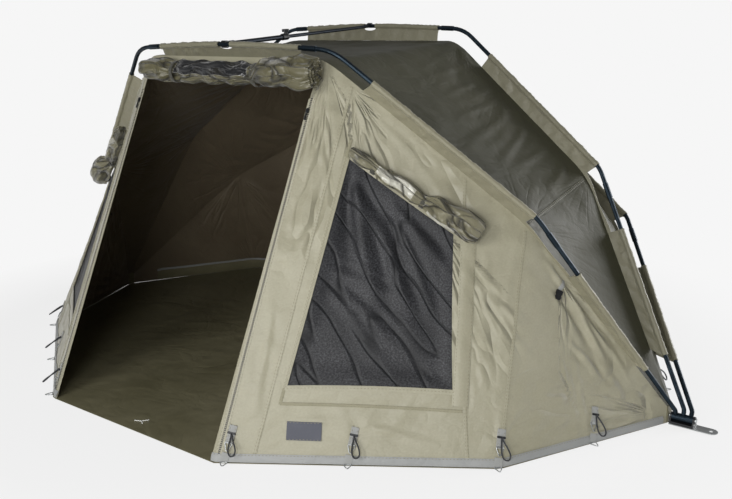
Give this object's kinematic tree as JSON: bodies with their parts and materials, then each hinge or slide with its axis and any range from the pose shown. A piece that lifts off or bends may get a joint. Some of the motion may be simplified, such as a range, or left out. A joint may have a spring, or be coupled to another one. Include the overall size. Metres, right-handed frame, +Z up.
{
  "type": "bivvy tent",
  "caption": "Single-person fishing bivvy with folding pole ribs on ground hubs, rolled door and window covers, mesh windows and a tension bar.",
  "frame": {"origin": "middle of the groundsheet's underside, below the ribs' common hinge axis", "axes": "+X from hub to hub towards the right as seen from the door, -Y out of the door, +Z up"},
  "size_m": [3.236, 2.2925, 1.3521],
  "materials": {
    "pole_tube_metal": "satin dark anodised",
    "bar_tube_metal": "satin dark anodised",
    "zinc_steel": "zinc plated",
    "black_nylon": "moulded",
    "roof_cloth": "coated woven cloth",
    "wall_cloth": "coated woven cloth",
    "sleeve_cloth": "coated woven cloth",
    "window_net": "fine knitted net",
    "groundsheet_pvc": "coated, slightly glossy",
    "roll_lining": "coated inner side, satin"
  },
  "bodies": {
    "ground_base": {"groundsheet": "groundsheet_pvc", "hub_block_left": "black_nylon", "hub_block_right": "black_nylon", "hub_pin_left": "zinc_steel", "hub_pin_right": "zinc_steel", "peg_plate_left": "zinc_steel", "peg_plate_right": "zinc_steel", "rear_wall": "roof_cloth", "rear_side_left": "roof_cloth", "rear_side_right": "roof_cloth", "rear_quarter_left": "roof_cloth", "rear_quarter_right": "roof_cloth"},
    "rear_rib": {"rear_crown_pole": "pole_tube_metal", "rear_shoulder_pole_left": "pole_tube_metal", "rear_shoulder_pole_right": "pole_tube_metal", "rear_leg_left": "pole_tube_metal", "rear_leg_right": "pole_tube_metal", "rear_crown_sleeve": "sleeve_cloth", "rear_sleeve_left": "sleeve_cloth", "rear_sleeve_right": "sleeve_cloth", "rear_bay_roof": "roof_cloth", "rear_bay_side_left": "roof_cloth", "rear_bay_side_right": "roof_cloth"},
    "mid_rib": {"mid_crown_pole": "pole_tube_metal", "mid_shoulder_pole_left": "pole_tube_metal", "mid_shoulder_pole_right": "pole_tube_metal", "mid_leg_left": "pole_tube_metal", "mid_leg_right": "pole_tube_metal", "mid_crown_sleeve": "sleeve_cloth", "mid_sleeve_left": "sleeve_cloth", "mid_sleeve_right": "sleeve_cloth", "front_bay_roof": "roof_cloth", "front_bay_side_left": "roof_cloth", "front_bay_side_right": "roof_cloth"},
    "front_rib": {"front_crown_pole": "pole_tube_metal", "front_shoulder_pole_left": "pole_tube_metal", "front_shoulder_pole_right": "pole_tube_metal", "front_leg_left": "pole_tube_metal", "front_leg_right": "pole_tube_metal", "front_crown_sleeve": "sleeve_cloth", "front_sleeve_left": "sleeve_cloth", "front_sleeve_right": "sleeve_cloth", "side_wall_left": "wall_cloth", "side_wall_right": "wall_cloth"},
    "front_wall": {"door_surround": "wall_cloth", "door_roll": "roll_lining", "window_wall_left": "wall_cloth", "window_wall_right": "wall_cloth", "window_mesh_left": "window_net", "window_mesh_right": "window_net", "window_roll_left": "roll_lining", "window_roll_right": "roll_lining"},
    "tension_bar": {"tension_bar_clip": "black_nylon", "tension_bar_tube": "bar_tube_metal", "tension_bar_collar": "black_nylon"},
    "bar_rod": {"tension_bar_rod": "bar_tube_metal"},
    "bar_knob": {"tension_bar_knob": "black_nylon"},
    "zip_left": {"zip_slider_left": "black_nylon"},
    "zip_right": {"zip_slider_right": "black_nylon"}
  },
  "joints": [
    {"name": "rear_rib_fold", "type": "hinge", "parent": "ground_base", "child": "rear_rib", "pos_m": [0, 0, 0.025], "axis": [-1, 0, 0], "range_deg": [0, 44.6], "deforming": ["rear_wall", "rear_side_left", "rear_side_right", "rear_quarter_left", "rear_quarter_right"]},
    {"name": "mid_rib_fold", "type": "hinge", "parent": "rear_rib", "child": "mid_rib", "pos_m": [0, 0, 0.025], "axis": [-1, 0, 0], "range_deg": [0, 24], "deforming": ["rear_bay_roof", "rear_bay_side_left", "rear_bay_side_right"]},
    {"name": "front_rib_fold", "type": "hinge", "parent": "mid_rib", "child": "front_rib", "pos_m": [0, 0, 0.025], "axis": [-1, 0, 0], "range_deg": [0, 31.5], "deforming": ["front_bay_roof", "front_bay_side_left", "front_bay_side_right"]},
    {"name": "front_wall_fold", "type": "hinge", "parent": "front_rib", "child": "front_wall", "pos_m": [0, -0.62124, 1.22605], "axis": [-1, 0, 0], "range_deg": [-48, 0], "deforming": ["window_wall_left", "window_wall_right", "window_mesh_left", "window_mesh_right", "window_roll_left", "window_roll_right", "side_wall_left", "side_wall_right"]},
    {"name": "bar_swing", "type": "hinge", "parent": "front_rib", "child": "tension_bar", "pos_m": [0, -0.64389, 1.26984], "axis": [-1, 0, 0], "range_deg": [-229, 0]},
    {"name": "bar_slide", "type": "slide", "parent": "tension_bar", "child": "bar_rod", "axis": [0, 0.9967, 0.081], "range_m": [-0.12, 0]},
    {"name": "bar_lock_turn", "type": "hinge", "parent": "tension_bar", "child": "bar_knob", "pos_m": [0, -0.32546, 1.31328], "axis": [0, -0.081, 0.9967], "range_deg": [0, 180]},
    {"name": "zip_left_slide", "type": "slide", "parent": "front_wall", "child": "zip_left", "axis": [0.0072, -0.4061, -0.9138], "range_m": [0, 1.09]},
    {"name": "zip_right_slide", "type": "slide", "parent": "front_wall", "child": "zip_right", "axis": [-0.0072, -0.4061, -0.9138], "range_m": [0, 1.09]}
  ],
  "couplings": [
    {"joint": "mid_rib_fold", "follows": "rear_rib_fold", "ratio": 0.51121},
    {"joint": "front_rib_fold", "follows": "rear_rib_fold", "ratio": 0.68274},
    {"joint": "front_wall_fold", "follows": "rear_rib_fold", "ratio": -1.0538},
    {"joint": "bar_swing", "follows": "rear_rib_fold", "ratio": -5.0975}
  ]
}
